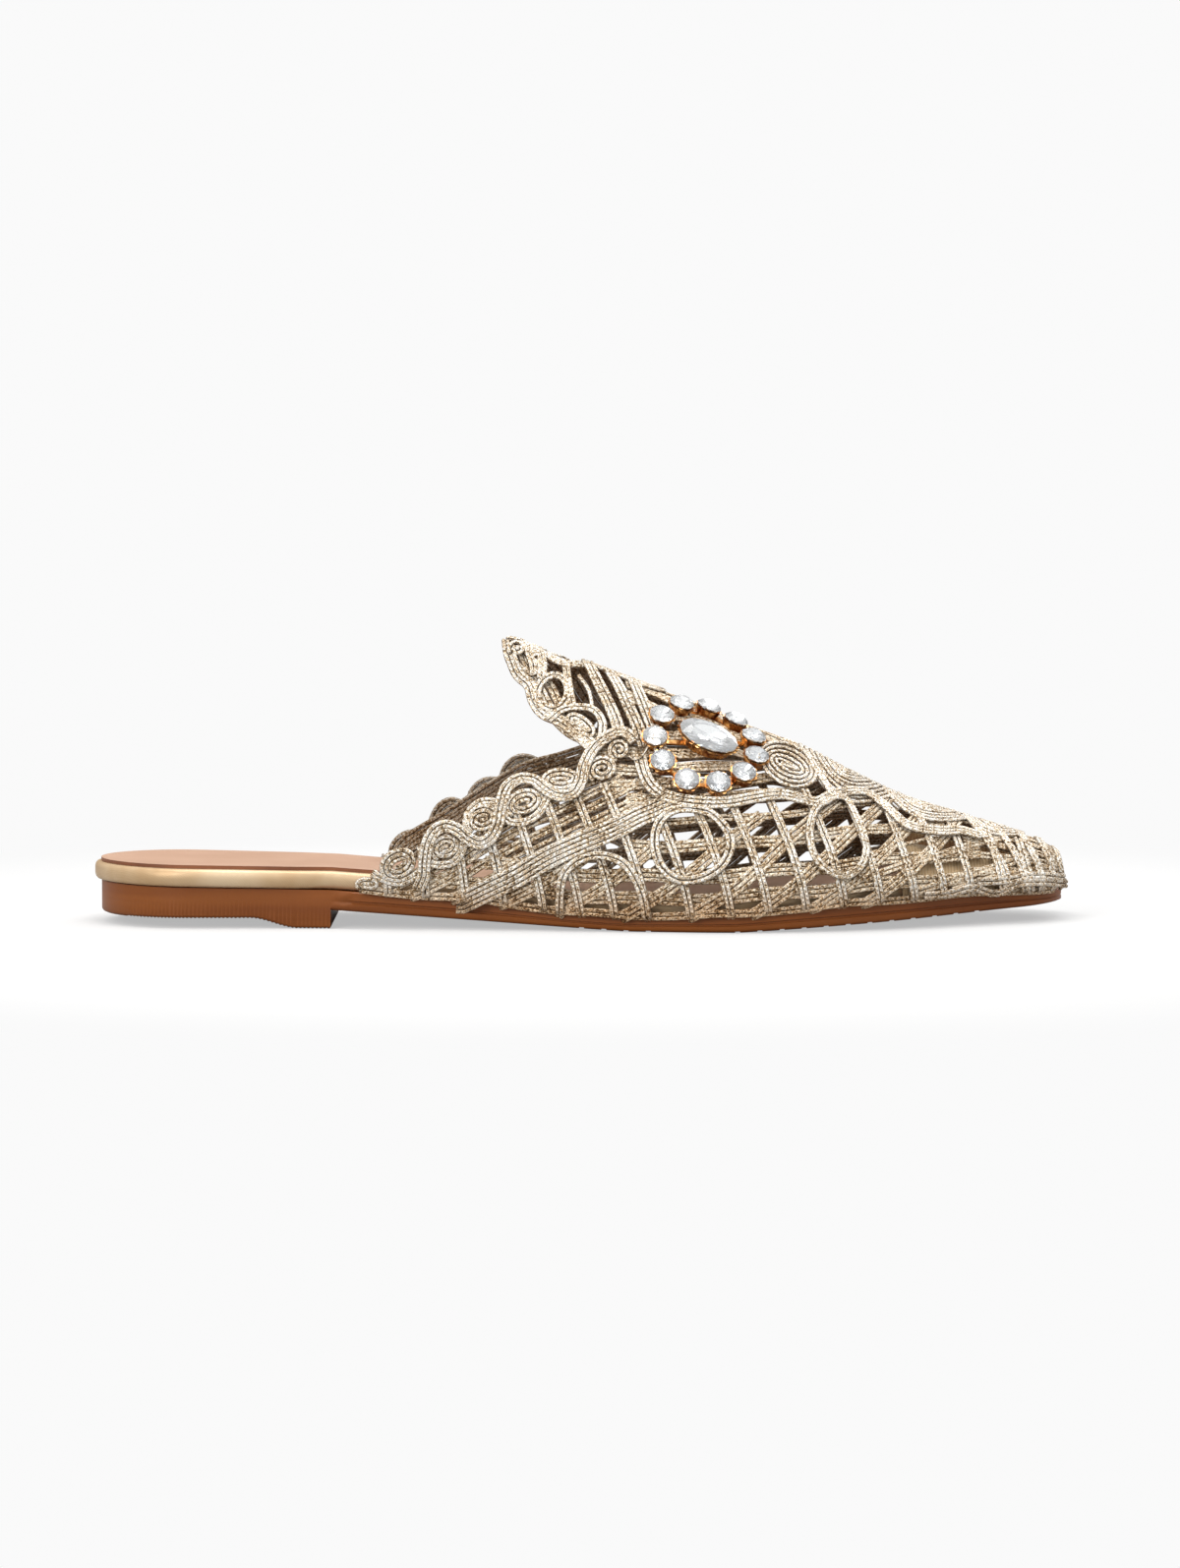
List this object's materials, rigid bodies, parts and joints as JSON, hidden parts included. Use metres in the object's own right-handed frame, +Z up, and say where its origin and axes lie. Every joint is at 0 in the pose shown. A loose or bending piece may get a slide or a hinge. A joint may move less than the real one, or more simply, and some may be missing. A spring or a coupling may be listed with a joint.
{
  "type": "corded flat mule shoe",
  "caption": "Pointed flat mule with an openwork corded upper, a peaked tongue, a stone brooch on the vamp and a low heel.",
  "frame": {"origin": "on the floor, in the middle of the flat part of the heel's underside", "axes": "+X to the toe, +Y to the inner side of the foot, +Z up"},
  "size_m": [0.2671, 0.0823, 0.0765],
  "materials": {
    "sole_brown": "semi-gloss moulded",
    "board_gold": "pearly gold satin",
    "insock_pink": "smooth matt",
    "cord_gold": "metallic plaited cord",
    "setting_gold": "polished warm gold plating",
    "clear_stone": "faceted clear glass"
  },
  "bodies": {
    "root": {"outsole": "sole_brown", "footbed_board": "board_gold", "insock": "insock_pink", "upper": "cord_gold", "brooch_setting": "setting_gold", "centre_stone": "clear_stone", "stone_01": "clear_stone", "stone_02": "clear_stone", "stone_03": "clear_stone", "stone_04": "clear_stone", "stone_05": "clear_stone", "stone_06": "clear_stone", "stone_07": "clear_stone", "stone_08": "clear_stone", "stone_09": "clear_stone", "stone_10": "clear_stone", "stone_11": "clear_stone"}
  },
  "joints": []
}
